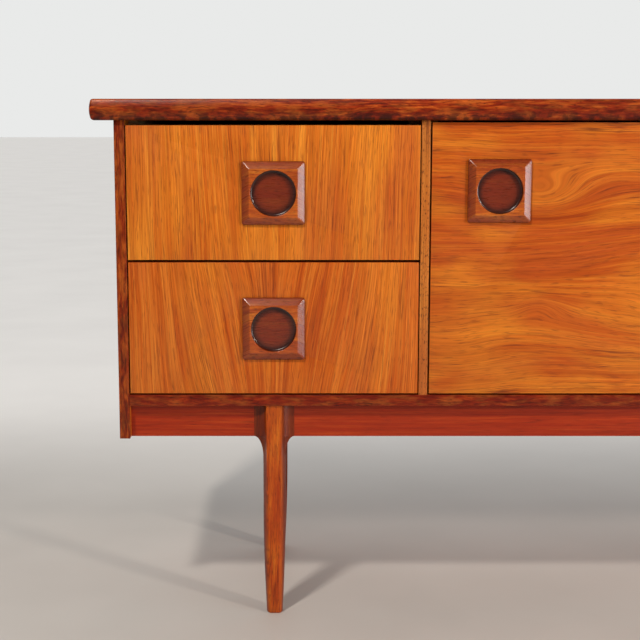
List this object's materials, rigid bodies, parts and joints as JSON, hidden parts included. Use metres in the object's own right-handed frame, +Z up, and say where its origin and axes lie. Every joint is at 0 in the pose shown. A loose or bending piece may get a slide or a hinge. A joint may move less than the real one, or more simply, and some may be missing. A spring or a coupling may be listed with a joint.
{
  "type": "sideboard",
  "caption": "Long low sideboard with stacked drawers at the left, side-hung cupboard doors, square handles with round finger hollows, a rounded overhanging top and shaped legs.",
  "frame": {"origin": "on the floor, under the middle of the whole sideboard", "axes": "+X to the right along the length, seen from the front; +Y towards the back; +Z up"},
  "size_m": [1.83, 0.432, 0.76],
  "materials": {
    "teak_veneer": "satin lacquered veneer, vertical grain",
    "door_veneer": "satin lacquered veneer, horizontal grain with swirling figure",
    "dark_edge": "satin lacquered solid strips, darker than the veneer",
    "solid_teak": "satin lacquered solid wood",
    "red_rail": "satin reddish stained solid wood",
    "handle_wood": "satin dark stained solid wood",
    "drawer_wood": "bare light hardwood",
    "ply": "bare plywood",
    "back_board": "stained plywood, matt",
    "brass": "satin",
    "steel": "zinc plated",
    "catch_plastic": "moulded"
  },
  "bodies": {
    "case": {"top_panel": "teak_veneer", "top_edge_front": "dark_edge", "top_edge_left": "dark_edge", "top_edge_right": "dark_edge", "side_left": "teak_veneer", "side_right": "teak_veneer", "partition_left": "teak_veneer", "partition_right": "teak_veneer", "bottom_panel": "teak_veneer", "front_edge_strips": "dark_edge", "back_panel": "back_board", "back_panel_screws": "steel", "top_cleats": "drawer_wood", "cleat_screws": "steel", "drawer_runners": "drawer_wood", "drawer_stops": "drawer_wood", "shelf_middle": "teak_veneer", "shelf_right": "teak_veneer", "shelf_pegs": "brass", "door_catches": "catch_plastic", "case_hinge_leaves": "brass", "case_hinge_screws": "brass", "hinge_pins": "brass", "leg_front_left": "solid_teak", "leg_front_right": "solid_teak", "leg_back_left": "solid_teak", "leg_back_right": "solid_teak", "front_rail_left": "red_rail", "front_rail_middle": "red_rail", "front_rail_right": "red_rail", "back_rail_left": "red_rail", "back_rail_middle": "red_rail", "back_rail_right": "red_rail", "cross_rail_left": "red_rail", "cross_rail_right": "red_rail", "frame_screws": "steel"},
    "upper_drawer": {"upper_drawer_front": "teak_veneer", "upper_drawer_side_left": "drawer_wood", "upper_drawer_side_right": "drawer_wood", "upper_drawer_back": "drawer_wood", "upper_drawer_bottom": "ply", "upper_drawer_handle": "handle_wood", "upper_drawer_screws": "steel"},
    "lower_drawer": {"lower_drawer_front": "teak_veneer", "lower_drawer_side_left": "drawer_wood", "lower_drawer_side_right": "drawer_wood", "lower_drawer_back": "drawer_wood", "lower_drawer_bottom": "ply", "lower_drawer_handle": "handle_wood", "lower_drawer_screws": "steel"},
    "middle_door": {"middle_door_panel": "door_veneer", "middle_door_handle": "handle_wood", "middle_door_hinge_leaves": "brass", "middle_door_strike": "steel", "middle_door_screws": "brass"},
    "right_door": {"right_door_panel": "door_veneer", "right_door_handle": "handle_wood", "right_door_hinge_leaves": "brass", "right_door_strike": "steel", "right_door_screws": "brass"}
  },
  "joints": [
    {"name": "upper_drawer_slide", "type": "slide", "parent": "case", "child": "upper_drawer", "axis": [0, -1, 0], "range_m": [0, 0.3]},
    {"name": "lower_drawer_slide", "type": "slide", "parent": "case", "child": "lower_drawer", "axis": [0, -1, 0], "range_m": [0, 0.3]},
    {"name": "middle_door_hinge", "type": "hinge", "parent": "case", "child": "middle_door", "pos_m": [0.20875, -0.2055, 0.53], "axis": [0, 0, 1], "range_deg": [0, 105]},
    {"name": "right_door_hinge", "type": "hinge", "parent": "case", "child": "right_door", "pos_m": [0.86575, -0.2055, 0.53], "axis": [0, 0, 1], "range_deg": [0, 105]}
  ]
}
